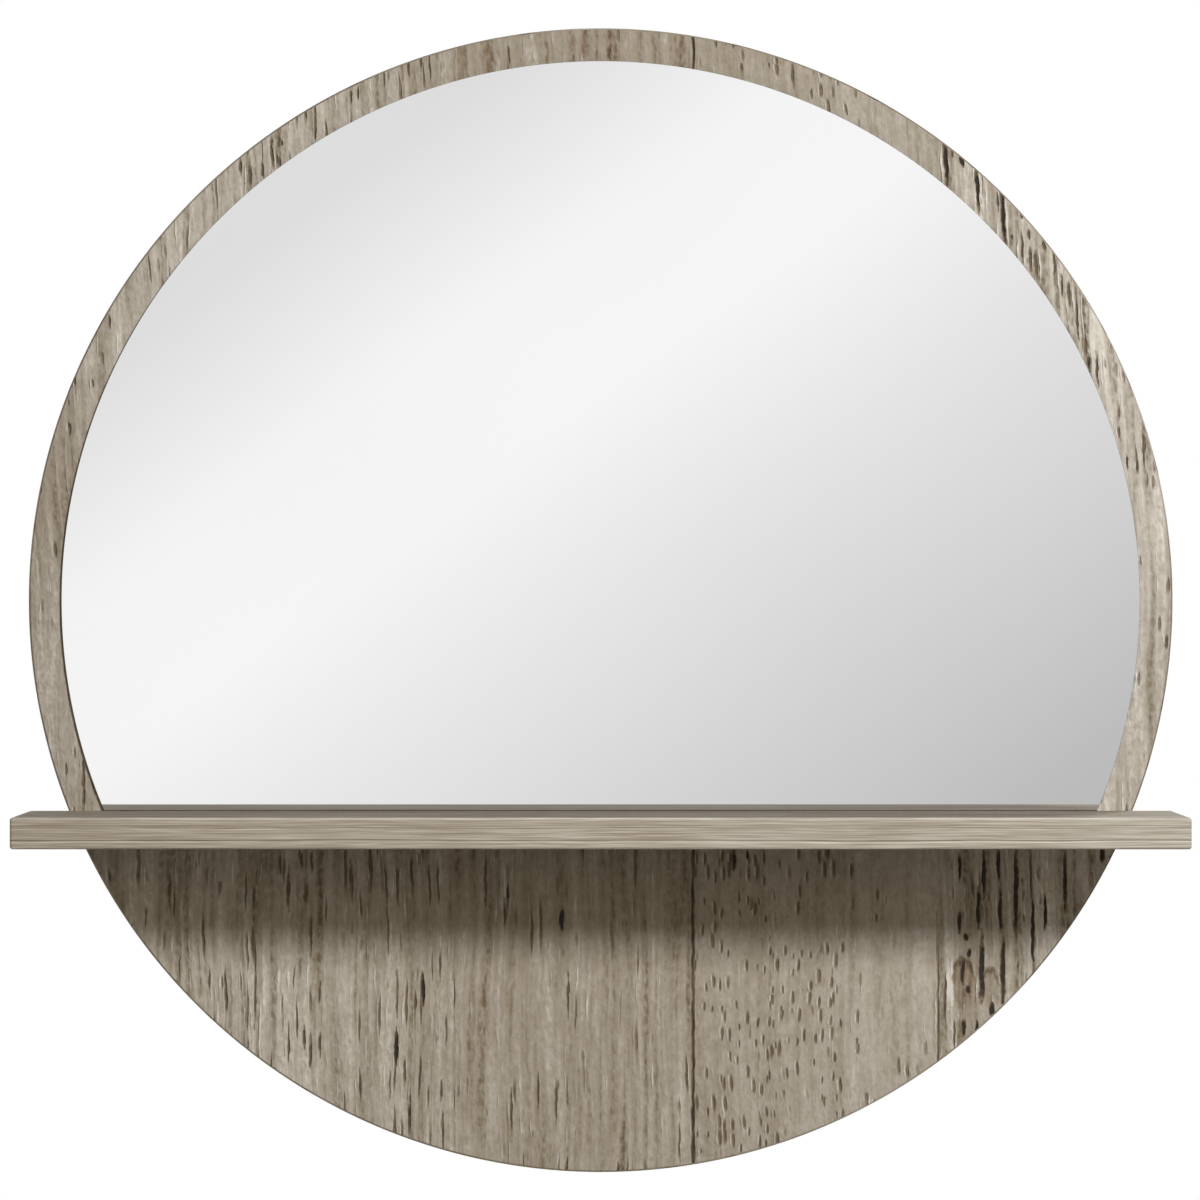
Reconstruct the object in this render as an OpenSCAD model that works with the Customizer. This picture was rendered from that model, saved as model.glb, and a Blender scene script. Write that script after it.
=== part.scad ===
// Round wall mirror with a shelf across its lower third.
// The back lies in the plane y = 0, the front looks towards -y, and z points up.
// The origin is the centre of the round board, on its back. Sizes are in millimetres.

/* [Round board] */
// Diameter of the round board over its edge band
disc_d = 610; // [580:1:760]
// Thickness of the fibreboard core
core_t = 16; // [15:0.5:22]
// Thickness of the laminate on each face of the core
laminate_t = 0.8; // [0.5:0.1:1.2]
// Thickness of the band that covers the round edge
rim_band_t = 0.8; // [0.4:0.1:2]

/* [Mirror] */
// Width of the rim that shows round the glass
rim_w = 17.7; // [10:0.1:40]
// Thickness of the silvered glass
glass_t = 2; // [2:0.5:4]
// Gap between the glass and the shelf under it
glass_gap = 0.2; // [0.2:0.1:1]
// Thickness of the double-sided tape behind the glass
tape_t = 0.25; // [0.2:0.05:1]
// Width of one strip of tape
tape_w = 25; // [15:1:40]
// Strips of tape on each side of the middle one
tape_pairs = 2; // [1:1:3]
// Distance from the tape to the edge of the glass
tape_margin = 20; // [10:1:30]

/* [Shelf] */
// Length of the shelf from end to end
shelf_w = 610; // [500:1:760]
// How far the shelf stands out from the face of the round board
shelf_depth = 102; // [80:1:150]
// Thickness of the shelf
shelf_t = 16.4; // [15:0.2:22]
// Drop of the shelf's top below the centre of the round board
shelf_drop = 112.2; // [80:0.1:150]
// Thickness of the bands on the shelf's front and ends
shelf_band_t = 2; // [1.8:0.1:3]
// Radius of the shelf's eased edges
shelf_edge_r = 1.5; // [0.5:0.1:1.7]

/* [Shelf fixings] */
// Distance between neighbouring fixings, screw and dowel in turn
fixing_pitch = 80; // [60:1:85]
// Length of a shelf screw
screw_l = 50; // [40:1:60]
// Diameter of a shelf screw
screw_d = 5; // [4:0.5:6]
// Diameter of a dowel
dowel_d = 8; // [6:1:8]
// Length of a dowel
dowel_l = 32; // [25:1:40]

/* [Hangers] */
// Distance between the two hangers, centre to centre
hanger_spacing = 406.4; // [300:0.1:420]
// Height of the entry holes above the centre of the round board
hanger_rise = 140; // [100:1:150]
// Length of a hanger plate
plate_l = 50; // [48:1:60]
// Width of a hanger plate
plate_w = 18; // [16:1:24]
// Thickness of a hanger plate
plate_t = 1.5; // [1.5:0.1:2]
// Diameter of the round hole that the head of a wall screw goes through
entry_d = 10; // [9:0.5:11]
// Width of the slot above the entry hole
slot_w = 5; // [4.5:0.5:6]
// Distance from the entry hole up to the end of the slot
slot_rise = 12; // [10:1:13]
// Depth of the hollow behind a plate
hollow_depth = 7.5; // [6:0.5:8]

/* [Hidden] */
$fn = 96;
cut = 1;                                 // how far a cutter runs past the face that it opens
fit_gap = 0.1;                           // play round a screw or a plate

disc_r = disc_d / 2;
core_r = disc_r - rim_band_t;
board_t = core_t + 2 * laminate_t;       // the face of the board is at y = -board_t

glass_r = disc_r - rim_w;
shelf_top_z = -shelf_drop;
glass_foot_z = shelf_top_z + glass_gap;
tape_reach = glass_r - tape_margin;
tape_pitch = (tape_reach - tape_w) * 0.9 / tape_pairs;

shelf_mid_z = shelf_top_z - shelf_t / 2;
shelf_front_y = -board_t - shelf_depth;
screw_places = [-3, -1, 1, 3] * fixing_pitch;
dowel_places = [-2, 0, 2] * fixing_pitch;

screw_sink = 0.4;                        // a screw's head lies this far below the back
screw_head_d = 2 * screw_d - 0.4;
screw_head_h = (screw_head_d - screw_d) / 2;
screw_tip_l = screw_d;
dowel_in_board = 12;
dowel_chamfer = 1;
dowel_hole_play = 0.5;                   // extra depth at each end of a dowel

plate_mid_z = hanger_rise + slot_rise / 2;
plate_screw_d = 3.5;
plate_screw_head_d = 6.8;
plate_screw_l = 12;
plate_screw_rise = plate_l / 2 - 6;      // from the middle of a plate to each of its screws
hollow_w = entry_d + 2;

// Stands a flat drawing upright: its y becomes z, and its thickness runs from y_back to the front.
module upright(y_back) {
    translate([0, y_back, 0])
    rotate([90, 0, 0])
    children();
}

// A bar with round ends, drawn flat. The centres of its ends are span apart.
module slot_shape(width, span) {
    square([width, span], center = true);
    translate([0, span / 2]) circle(d = width);
    translate([0, -span / 2]) circle(d = width);
}

// A rectangle that starts at the origin and has its four corners rounded.
module eased_rectangle(size, r) {
    translate([r, 0]) square([size.x - 2 * r, size.y]);
    translate([0, r]) square([size.x, size.y - 2 * r]);
    for (x = [r, size.x - r], y = [r, size.y - r])
        translate([x, y]) circle(r = r);
}

// A countersunk wood screw that runs towards -y from its head at y = 0.
module countersunk_screw(d, head_d, l) {
    head_h = (head_d - d) / 2;
    difference() {
        union() {
            rotate([90, 0, 0]) cylinder(h = head_h, d1 = head_d, d2 = d);
            rotate([90, 0, 0]) cylinder(h = l - d, d = d);
            translate([0, d - l, 0]) rotate([90, 0, 0]) cylinder(h = d, d1 = d, d2 = d / 5);
        }
        cross_recess(d * 0.95, d / 5, head_h * 0.7);
    }
}

// The cross that takes the screwdriver, cut into a head at y = 0.
module cross_recess(reach, width, depth) {
    for (size = [[reach, width], [width, reach]])
        translate([0, cut / 2 - depth / 2, 0])
        cube([size[0], depth + cut, size[1]], center = true);
}

// The hole for a countersunk screw that enters at y = 0, as deep as the screw and a little play.
module screw_hole(d, head_d, l) {
    play = 2 * fit_gap;
    head_h = (head_d - d) / 2;
    rotate([90, 0, 0]) cylinder(h = head_h, d1 = head_d + play, d2 = d + play);
    rotate([90, 0, 0]) cylinder(h = l + fit_gap, d = d + play);
    translate([0, cut, 0]) rotate([90, 0, 0]) cylinder(h = cut, d = head_d + play);
}

// Everything that is bored for the shelf: the screws come from the back, the dowels from the face.
module shelf_borings() {
    for (x = screw_places)
        translate([x, -screw_sink, shelf_mid_z])
        screw_hole(screw_d, screw_head_d, screw_l);
    for (x = dowel_places)
        translate([x, -board_t + dowel_in_board + dowel_hole_play, shelf_mid_z])
        rotate([90, 0, 0])
        cylinder(h = dowel_l + 2 * dowel_hole_play, d = dowel_d);
}

// Places its children at the middle of both hangers.
module at_hangers() {
    for (side = [-1, 1])
        translate([side * hanger_spacing / 2, 0, plate_mid_z])
        children();
}

// Places its children at both screws of one hanger plate.
module at_plate_screws() {
    for (end = [-1, 1])
        translate([0, 0, end * plate_screw_rise])
        children();
}

// Shallow seat for a hanger plate, open at the back.
module plate_seat() {
    upright(cut)
    linear_extrude(cut + plate_t)
    slot_shape(plate_w + 2 * fit_gap, plate_l - plate_w);
}

// Hollow behind a hanger plate, where the head of the wall screw slides up.
module head_hollow() {
    upright(0)
    linear_extrude(plate_t + hollow_depth)
    slot_shape(hollow_w, slot_rise);
}

module back_board() {
    color("#b49468")
    difference() {
        upright(-laminate_t) linear_extrude(core_t) circle(r = core_r);
        shelf_borings();
        at_hangers() {
            plate_seat();
            head_hollow();
            at_plate_screws() screw_hole(plate_screw_d, plate_screw_head_d, plate_screw_l);
        }
    }
}

module back_laminate() {
    color("#8f877b")
    difference() {
        upright(0) linear_extrude(laminate_t) circle(r = core_r);
        shelf_borings();
        at_hangers() plate_seat();
    }
}

module face_laminate() {
    color("#a59989")
    difference() {
        upright(laminate_t - board_t) linear_extrude(laminate_t) circle(r = core_r);
        shelf_borings();
    }
}

module rim_edge_band() {
    color("#8d8272")
    upright(0)
    linear_extrude(board_t)
    difference() {
        circle(r = disc_r);
        circle(r = core_r);
    }
}

// Upright strips of tape, each as long as the glass allows where it lies.
module mirror_tape() {
    color("#e9e6dd")
    for (i = [-tape_pairs : tape_pairs]) {
        x = i * tape_pitch;
        top_z = sqrt(tape_reach * tape_reach - pow(abs(x) + tape_w / 2, 2));
        foot_z = glass_foot_z + tape_margin;
        translate([x - tape_w / 2, -board_t - tape_t, foot_z])
        cube([tape_w, tape_t, top_z - foot_z]);
    }
}

// A disc of glass cut straight along the shelf.
module mirror_pane() {
    color("#dfe3e4")
    upright(-board_t - tape_t)
    linear_extrude(glass_t)
    difference() {
        circle(r = glass_r);
        translate([-disc_r, glass_foot_z - disc_d]) square(disc_d);
    }
}

// The whole shelf with its eased front and ends, before it is parted into board and bands.
module shelf_envelope() {
    intersection() {
        translate([-shelf_w / 2, 0, shelf_top_z - shelf_t])
        upright(-board_t)
        linear_extrude(shelf_depth)
        eased_rectangle([shelf_w, shelf_t], shelf_edge_r);

        translate([-shelf_w / 2, shelf_front_y, shelf_top_z - shelf_t])
        linear_extrude(shelf_t)
        eased_rectangle([shelf_w, shelf_depth + cut], shelf_edge_r);

        translate([-shelf_w / 2, shelf_front_y, shelf_top_z - shelf_t])
        rotate([90, 0, 90])
        linear_extrude(shelf_w)
        eased_rectangle([shelf_depth + shelf_edge_r + cut, shelf_t], shelf_edge_r);
    }
}

// The block of the shelf between its bands.
module shelf_core_block() {
    translate([shelf_band_t - shelf_w / 2, shelf_front_y + shelf_band_t, shelf_top_z - shelf_t - cut])
    cube([shelf_w - 2 * shelf_band_t, shelf_depth - shelf_band_t, shelf_t + 2 * cut]);
}

module shelf_board() {
    color("#a3978a")
    difference() {
        intersection() {
            shelf_envelope();
            shelf_core_block();
        }
        shelf_borings();
    }
}

module shelf_front_band() {
    color("#aca08f")
    intersection() {
        shelf_envelope();
        translate([-shelf_w, shelf_front_y - cut, shelf_top_z - shelf_t - cut])
        cube([2 * shelf_w, cut + shelf_band_t, shelf_t + 2 * cut]);
    }
}

// Band on one end of the shelf: side is -1 for the left end and 1 for the right.
module shelf_end_band(side) {
    color("#9b9080")
    intersection() {
        shelf_envelope();
        translate([side * (shelf_w - shelf_band_t) / 2, -board_t - (shelf_depth - shelf_band_t) / 2, shelf_mid_z])
        cube([shelf_band_t, shelf_depth - shelf_band_t, shelf_t + cut], center = true);
    }
}

module shelf_end_band_left() {
    shelf_end_band(-1);
}

module shelf_end_band_right() {
    shelf_end_band(1);
}

// Beech dowels with chamfered ends, glued half into the board and half into the shelf.
module shelf_dowels() {
    color("#d6b98c")
    for (x = dowel_places)
        translate([x, -board_t + dowel_in_board, shelf_mid_z])
        rotate([90, 0, 0]) {
            cylinder(h = dowel_chamfer, d1 = dowel_d - 2 * dowel_chamfer, d2 = dowel_d);
            translate([0, 0, dowel_chamfer])
            cylinder(h = dowel_l - 2 * dowel_chamfer, d = dowel_d);
            translate([0, 0, dowel_l - dowel_chamfer])
            cylinder(h = dowel_chamfer, d1 = dowel_d, d2 = dowel_d - 2 * dowel_chamfer);
        }
}

module shelf_screws() {
    color("#c9c3b4")
    for (x = screw_places)
        translate([x, -screw_sink, shelf_mid_z])
        countersunk_screw(screw_d, screw_head_d, screw_l);
}

// Steel plate with a keyhole, let in flush with the back: side is -1 for left and 1 for right.
module hanger_plate(side) {
    color("#b9bcbd")
    translate([side * hanger_spacing / 2, 0, plate_mid_z])
    difference() {
        upright(0)
        linear_extrude(plate_t)
        difference() {
            slot_shape(plate_w, plate_l - plate_w);
            slot_shape(slot_w, slot_rise);
            translate([0, -slot_rise / 2]) circle(d = entry_d);
        }
        at_plate_screws() screw_hole(plate_screw_d, plate_screw_head_d, plate_screw_l);
    }
}

module hanger_plate_left() {
    hanger_plate(-1);
}

module hanger_plate_right() {
    hanger_plate(1);
}

module hanger_screws() {
    color("#d0cab8")
    at_hangers()
    at_plate_screws()
    countersunk_screw(plate_screw_d, plate_screw_head_d, plate_screw_l);
}

back_board();
back_laminate();
face_laminate();
rim_edge_band();
mirror_tape();
mirror_pane();
shelf_board();
shelf_front_band();
shelf_end_band_left();
shelf_end_band_right();
shelf_dowels();
shelf_screws();
hanger_plate_left();
hanger_plate_right();
hanger_screws();
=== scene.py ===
"""Looks of a round wall mirror with a shelf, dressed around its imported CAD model.

The frame is the CAD's own: metres, the back of the board in the plane y = 0, the front towards
-y, z up. Patterns are written in millimetres, so that their numbers compare with a real print's.
"""

import math

import bmesh
import bpy
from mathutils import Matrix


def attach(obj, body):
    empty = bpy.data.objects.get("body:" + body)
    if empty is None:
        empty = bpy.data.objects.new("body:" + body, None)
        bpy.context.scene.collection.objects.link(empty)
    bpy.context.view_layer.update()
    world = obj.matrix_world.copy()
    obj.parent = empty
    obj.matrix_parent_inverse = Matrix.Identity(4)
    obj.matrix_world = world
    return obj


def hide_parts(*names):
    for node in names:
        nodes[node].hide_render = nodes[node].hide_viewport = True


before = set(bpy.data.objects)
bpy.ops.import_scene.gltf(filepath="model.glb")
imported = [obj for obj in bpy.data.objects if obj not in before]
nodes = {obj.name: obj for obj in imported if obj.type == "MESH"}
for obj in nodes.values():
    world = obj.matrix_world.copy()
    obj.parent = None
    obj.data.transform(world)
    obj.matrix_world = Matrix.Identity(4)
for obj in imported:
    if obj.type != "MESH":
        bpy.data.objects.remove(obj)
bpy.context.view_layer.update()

MM = 0.001


# ---------------------------------------------------------------------------------------------
# Core of the board: 16 mm fibreboard, sawn round and bored from the back. Only the walls of the
# hollows behind the two hanger plates are ever seen.

FIBREBOARD_PALE = "#c2a077"
FIBREBOARD_DARK = "#8d6c48"
FIBRE_MM = 0.9  # real fibres are finer, and are drawn this coarse to show at all


def linear(code, alpha=1.0):
    """An sRGB hex colour as linear RGBA."""
    shares = [int(code[i : i + 2], 16) / 255 for i in (1, 3, 5)]
    return (*[c / 12.92 if c <= 0.04045 else ((c + 0.055) / 1.055) ** 2.4 for c in shares], alpha)


def add(tree, kind, inputs=None, stops=(), **settings):
    """Adds a shader node with its settings, its ramp's stops and its inputs.

    An input is a value, a socket, or a node, of which the first output is taken."""
    made = tree.nodes.new("ShaderNode" + kind)
    for name, value in settings.items():
        setattr(made, name, value)
    for i, (place, colour) in enumerate(stops):
        stop = made.color_ramp.elements[i] if i < 2 else made.color_ramp.elements.new(place)
        stop.position = place
        stop.color = colour
    for socket, value in (inputs or {}).items():
        source = value.outputs[0] if isinstance(value, bpy.types.Node) else value
        if isinstance(source, bpy.types.NodeSocket):
            tree.links.new(source, made.inputs[socket])
        else:
            made.inputs[socket].default_value = source
    return made


def new_material(name, **sockets):
    """A material with one Principled shader. Returns the material, its node tree and the shader."""
    material = bpy.data.materials.new(name)
    material.use_nodes = True
    material.node_tree.nodes.clear()
    shader = add(material.node_tree, "BsdfPrincipled", sockets)
    add(material.node_tree, "OutputMaterial", {"Surface": shader})
    return material, material.node_tree, shader


def place_in_mm(tree):
    """Where a point lies in the row frame, in millimetres."""
    own = add(tree, "TexCoord")
    return add(tree, "VectorMath", {0: own.outputs["Object"], "Scale": 1000.0}, operation="SCALE")


def speckle(tree, place, size_mm, detail=2.0):
    """Noise from 0 to 1, drawn with grains of the given size along x, y and z."""
    scale = [1 / size for size in size_mm]
    grid = add(tree, "Mapping", {"Vector": place, "Scale": scale})
    return add(tree, "TexNoise", {"Vector": grid, "Scale": 1.0, "Detail": detail, "Roughness": 0.55})


def dress(names, material):
    """Gives CAD nodes a finished material."""
    for name in names:
        nodes[name].data.materials.clear()
        nodes[name].data.materials.append(material)


# Raw fibreboard, sawn and bored: a dull, fuzzy brown with no grain direction.
fibreboard, tree, shader = new_material("FibreboardSawn", **{"Roughness": 0.9, "IOR": 1.5})
fibres = speckle(tree, place_in_mm(tree), (FIBRE_MM, FIBRE_MM, FIBRE_MM), detail=4.0)
brown = add(
    tree,
    "ValToRGB",
    {"Fac": fibres},
    stops=((0.3, linear(FIBREBOARD_DARK)), (0.7, linear(FIBREBOARD_PALE))),
)
fuzz = add(tree, "Bump", {"Height": fibres, "Strength": 0.5, "Distance": 0.2 * MM})
tree.links.new(brown.outputs["Color"], shader.inputs["Base Color"])
tree.links.new(fuzz.outputs["Normal"], shader.inputs["Normal"])
dress(["back_board"], fibreboard)


# ---------------------------------------------------------------------------------------------
# Back laminate: a plain melamine paper pressed on the back, so that the board stays flat. It has
# the cut-outs for the hanger plates and the shelf's screws, so the CAD solid itself is shown.

BALANCING_GREY = "#8d857a"
BALANCING_PALE = "#948c81"
BALANCING_DARK = "#867e73"
PAPER_FLECK_MM = 1.2
PAPER_CLOUD_MM = 110.0
SCUFF_MM = (90.0, 1.0, 1.3)

# Melamine paper, pressed: an even warm grey with faint clouds, paper flecks and a few scuffs
# from handling, and a low satin sheen.
balancing, tree, shader = new_material("MelaminePaperPressed", **{"Roughness": 0.48, "IOR": 1.52})
place = place_in_mm(tree)
flecks = speckle(tree, place, (PAPER_FLECK_MM, PAPER_FLECK_MM, PAPER_FLECK_MM))
clouds = speckle(tree, place, (PAPER_CLOUD_MM, PAPER_CLOUD_MM, PAPER_CLOUD_MM))
turned = add(tree, "VectorRotate", {"Vector": place, "Angle": math.radians(27)}, rotation_type="Y_AXIS")
scuffs = speckle(tree, turned, SCUFF_MM)
scuffed = add(
    tree,
    "MapRange",
    {"Value": scuffs, "From Min": 0.66, "From Max": 0.74, "To Min": 0.0, "To Max": 0.12},
)
mottle = add(tree, "Math", {0: flecks, 1: 0.7, 2: scuffed}, operation="MULTIPLY_ADD")
mottle = add(tree, "Math", {0: clouds, 1: 0.3, 2: mottle}, operation="MULTIPLY_ADD")
paper = add(
    tree,
    "ValToRGB",
    {"Fac": mottle},
    stops=((0.32, linear(BALANCING_DARK)), (0.5, linear(BALANCING_GREY)), (0.7, linear(BALANCING_PALE))),
)
sheen = add(tree, "MapRange", {"Value": mottle, "To Min": 0.36, "To Max": 0.6})
orange_peel = add(tree, "Bump", {"Height": flecks, "Strength": 0.25, "Distance": 0.1 * MM})
tree.links.new(paper.outputs["Color"], shader.inputs["Base Color"])
tree.links.new(sheen.outputs[0], shader.inputs["Roughness"])
tree.links.new(orange_peel.outputs["Normal"], shader.inputs["Normal"])
dress(["back_laminate"], balancing)


# ---------------------------------------------------------------------------------------------
# Face laminate: one sheet of embossed decor behind the glass and down the bare panel, printed as
# upright weathered planks with open seams, long cracks, short pores and two knots.

CORE_R = 304.2 * MM
FACE_Y = -17.6 * MM
FACE_LAMINATE_T = 0.8 * MM
FACE_ARRIS = 0.25 * MM  # the bevel that is scraped round the board starts in the laminate
ARC_STEPS = 360
HARD_EDGE_DEGREES = 32  # faces that meet at less than this are shaded as one

# Print colours, from the bottom of a crack to the pale flecks beside it. The bump makes cracks
# darker still where the light is low.
CRACK_DARK = "#232120"
CRACK_BROWN = "#484039"
STREAK_BROWN = "#7a6a57"
PLANK_GREY = "#9d9486"
PLANK_PALE = "#b0a89d"
STREAK_PALE = "#bab2a7"
FLECK_PALE = "#dad5cb"
WOOD_PRINT = {"IOR": 1.5, "Specular IOR Level": 0.2}  # melamine, made matt

SHEET_HALF_MM = 305.0
PLANK_TONE = 0.603  # the planks' average place on the ramp of these colours
# Seams: x in mm, how open the gap is above and below SEAM_CHANGE_Z, and how pale its left side is
PLANK_SEAMS = (
    (-206.2, 0.10, 0.10, 0.0),
    (-78.2, 0.12, 0.12, 0.0),
    (49.2, 1.00, 0.90, 0.2),
    (179.8, 0.03, 0.70, 1.0),
)
SEAM_CHANGE_Z = (-170.0, -195.0)
SEAM_SWELL_MM = 1.5
SEAM_TONE = 0.06
# A seam's pale side is partly print and partly a painted highlight
SEAM_EDGE_TONE = 0.78
SEAM_EDGE_MM = -1.2  # where a seam's pale side lies
UPPER_LEAN = 0.06  # how far the grain leans to the left as it rises above the middle of the board
WANDER_MM = 6.0  # how far a streak wanders sideways on its way up
RIPPLE_MM = 1.6  # how far it ripples
WAVER_MM = 1.8  # how far a seam or a drawn crack wavers
OWN_PRINT_MM = 37.0  # how far on in the noise each plank's print is taken from the last one's
# How the print drifts across the sheet: x in mm, and what it adds to the tone there. Set
# to the brightness that the photograph shows from left to right.
# Partly painted light: besides the print's own drift, it makes the sheet paler or darker where the light
# on it is brighter or dimmer.
PLANK_PRINT_AND_LIGHT_DRIFT = (
    (-305.0, 0.0),
    (-280.0, 0.012),
    (-250.0, 0.05),
    (-150.0, 0.03),
    (-77.0, -0.025),
    (0.0, -0.025),
    (77.0, -0.01),
    (148.0, 0.025),
    (200.0, 0.04),
    (230.0, 0.07),
    (256.0, 0.12),
    (285.0, 0.033),
    (305.0, 0.02),
)
# What is added to that in the upper half, where the rim shows another stretch of the planks. It is
# partly painted light: darker at the far left and paler at the far right, as the light from the right
# falls there. It comes in over the z of UPPER_FROM_Z, in mm.
UPPER_FROM_Z = (-60.0, 60.0)
UPPER_PRINT_AND_LIGHT_DRIFT = (
    (-305.0, -0.07),
    (-286.0, -0.031),
    (-256.0, 0.02),
    (-210.0, 0.017),
    (-148.0, 0.03),
    (-77.0, -0.043),
    (0.0, -0.035),
    (77.0, -0.033),
    (148.0, -0.01),
    (210.0, -0.04),
    (256.0, 0.015),
    (286.0, 0.08),
    (305.0, 0.05),
)
# One row a stretch of the sheet: where it starts (x in mm), how strong its long streaks are, how
# many short pores it has, and how many long cracks
PLANK_MOODS = (
    (-305.0, 0.85, 0.25, 0.15),
    (-262.0, 1.00, 0.15, 0.55),
    (-206.2, 1.05, 0.15, 0.75),
    (-78.2, 0.95, 0.10, 0.25),
    (-48.0, 0.75, 0.15, 0.30),
    (-12.0, 0.95, 0.10, 0.20),
    (49.2, 0.45, 0.95, 0.0),
    (125.0, 0.45, 0.45, 0.0),
    (150.0, 0.45, 0.25, 0.05),
    (179.8, 1.55, 0.15, 0.40),
    (268.0, 1.10, 0.50, 0.15),
)
# Short pores, long cracks and pale slivers, a row each: the size of a cell of their loose grid and
# half a dash's size, in mm, the mood that says how many there are and their share of the cells
# where that mood is 1, how much darker they are than the plank, and how pale their left edge is,
# which is partly print and partly a painted highlight on a groove's left wall lit from the right
DASHES = (
    ((4.6, 9.5), (0.75, 3.6), "Green", 0.74, 0.25, 0.13),
    ((4.6, 34.0), (0.62, 11.0), "Blue", 0.75, 0.27, 0.07),
    ((5.0, 18.0), (0.50, 5.5), "Red", 0.45, -0.14, 0.0),
)
PALE_EDGE_AND_HIGHLIGHT_SHIFT = 1.6  # how far to the left of a dash its pale edge lies, in half widths
# The largest cracks: x and z of the middle, half the width and half the length, in mm. Most of
# those of the left planks and of the rim are brown, and those of the right plank nearly black.
BROWN_CRACK_TONE = 0.28
BROWN_CRACKS = (
    (-184.8, -158.0, 0.9, 6.7),
    (-185.4, -184.0, 0.7, 12.0),
    (-166.4, -154.0, 0.9, 12.3),
    (-170.7, -139.8, 0.7, 6.7),
    (-159.3, -138.5, 0.8, 5.3),
    (-153.9, -139.0, 0.8, 5.9),
    (-157.1, -156.6, 1.4, 7.5),
    (-154.5, -178.0, 0.9, 11.7),
    (-149.9, -208.9, 0.7, 6.4),
    (-166.4, -238.5, 0.6, 8.8),
    (-158.2, -233.9, 0.8, 6.9),
    (-154.7, -241.1, 0.9, 10.4),
    (-149.7, -236.9, 0.9, 7.2),
    (-133.3, -147.0, 0.7, 9.1),
    (-229.6, -154.8, 0.9, 9.9),
    (-208.6, -202.8, 0.7, 6.7),
    (-104.6, -251.0, 0.7, 8.0),
    (-99.0, -213.7, 0.7, 5.9),
    (-84.9, -261.1, 0.6, 6.9),
    (-61.2, -150.2, 0.6, 17.1),
    (-51.0, -167.3, 0.8, 8.5),
    (-17.4, -210.2, 0.7, 13.6),
    (-23.8, -266.7, 0.7, 13.6),
    (-33.4, -261.1, 0.6, 11.7),
    (-47.6, -273.1, 0.7, 13.1),
    (-192.0, 231.0, 0.8, 4.8),
    (-187.0, 227.5, 1.0, 8.3),
    (-180.3, 228.8, 0.9, 5.3),
    (-175.2, 238.7, 0.9, 9.3),
    (-172.6, 235.0, 0.8, 4.0),
    (-169.9, 243.8, 0.8, 1.8),
    (-152.1, 248.6, 0.5, 3.7),
    (-133.1, 268.0, 0.6, 3.6),
    (-129.4, 270.4, 0.7, 3.7),
    (-108.0, 292.0, 0.8, 6.0),
    (-102.6, 285.0, 0.9, 7.0),
    (-96.0, 288.0, 0.7, 6.0),
    (-49.0, 291.0, 0.7, 6.0),
    (102.4, 279.4, 0.7, 7.5),
    (187.3, 238.2, 0.8, 3.0),
    (211.5, 213.0, 0.8, 6.0),
    (229.0, 181.5, 0.9, 7.0),
    (231.9, 179.0, 0.9, 9.0),
    (245.8, 167.5, 0.9, 6.5),
    (249.8, 162.5, 0.8, 7.5),
    (219.1, 193.6, 1.0, 1.6),
    (224.6, 187.8, 0.8, 9.0),
    (224.3, 204.6, 0.7, 1.9),
    (228.3, 194.7, 0.8, 3.2),
    (236.3, 188.8, 0.9, 4.3),
    (241.7, 179.8, 0.6, 9.6),
    (253.9, 151.8, 0.7, 15.7),
    (258.6, 136.1, 0.7, 7.5),
    (264.6, 123.5, 0.7, 10.4),
    (280.6, 73.6, 0.6, 4.8),
    (289.2, 81.4, 0.6, 12.0),
)
# The black cracks are inked darker than their print, partly as painted shade in their hollows where the
# light rakes across them.
BLACK_CRACK_TONE = 0.07
BLACK_CRACKS = (
    (-108.9, -238.2, 0.9, 8.0),
    (-94.7, -207.3, 0.9, 8.0),
    (-20.6, -170.2, 1.1, 6.1),
    (71.1, -138.0, 1.1, 5.0),
    (78.3, -135.9, 0.8, 2.3),
    (191.4, -142.6, 0.9, 6.5),
    (191.4, -171.8, 0.8, 5.5),
    (204.4, -144.8, 1.0, 12.0),
    (201.4, -163.6, 0.9, 10.5),
    (203.2, -196.2, 1.3, 17.0),
    (212.2, -139.6, 0.8, 8.5),
    (213.2, -164.8, 0.8, 11.0),
    (214.4, -197.0, 1.2, 18.5),
    (221.4, -154.8, 1.0, 23.0),
    (230.4, -176.8, 0.7, 20.0),
    (237.0, -166.0, 0.7, 9.0),
    (247.6, -149.4, 0.9, 14.0),
    (267.4, -135.4, 1.0, 4.0),
    (208.6, -218.4, 1.2, 3.4),
    (193.4, -228.2, 1.1, 4.2),
    (200.6, -228.4, 0.8, 4.0),
    (194.8, -179.6, 1.2, 2.1),
    (196.4, -188.1, 0.9, 2.1),
    (195.8, -207.8, 1.2, 2.1),
    (192.9, -197.7, 0.9, 6.9),
    (184.1, 232.3, 0.9, 11.5),
    (192.4, 234.2, 0.9, 2.8),
    (200.9, 219.5, 0.9, 11.0),
    (214.5, 205.1, 0.9, 14.7),
)
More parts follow.
